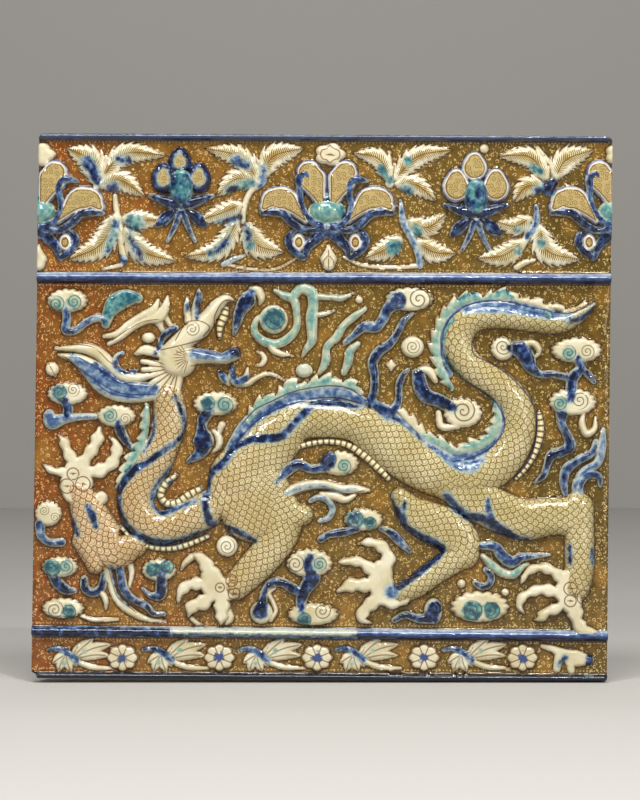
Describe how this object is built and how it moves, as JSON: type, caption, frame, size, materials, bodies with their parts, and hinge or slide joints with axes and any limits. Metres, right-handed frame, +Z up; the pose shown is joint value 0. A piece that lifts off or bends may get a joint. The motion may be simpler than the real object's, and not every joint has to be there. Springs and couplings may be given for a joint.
{
  "type": "frieze tile",
  "caption": "Moulded and glazed frieze tile: a dragon among clouds between a lotus border and a scroll border, with a flat back for setting on a wall.",
  "frame": {"origin": "middle of the flat back, where the tile is set against the wall", "axes": "+X to the viewer's right, +Y from the front into the wall, +Z up; the relief faces -Y"},
  "size_m": [0.3805, 0.035, 0.3598],
  "materials": {
    "glazed_fritware": "clear gloss glaze over cobalt and turquoise painting and brown lustre on a cream body"
  },
  "bodies": {
    "root": {"frieze_tile": "glazed_fritware"}
  },
  "joints": []
}
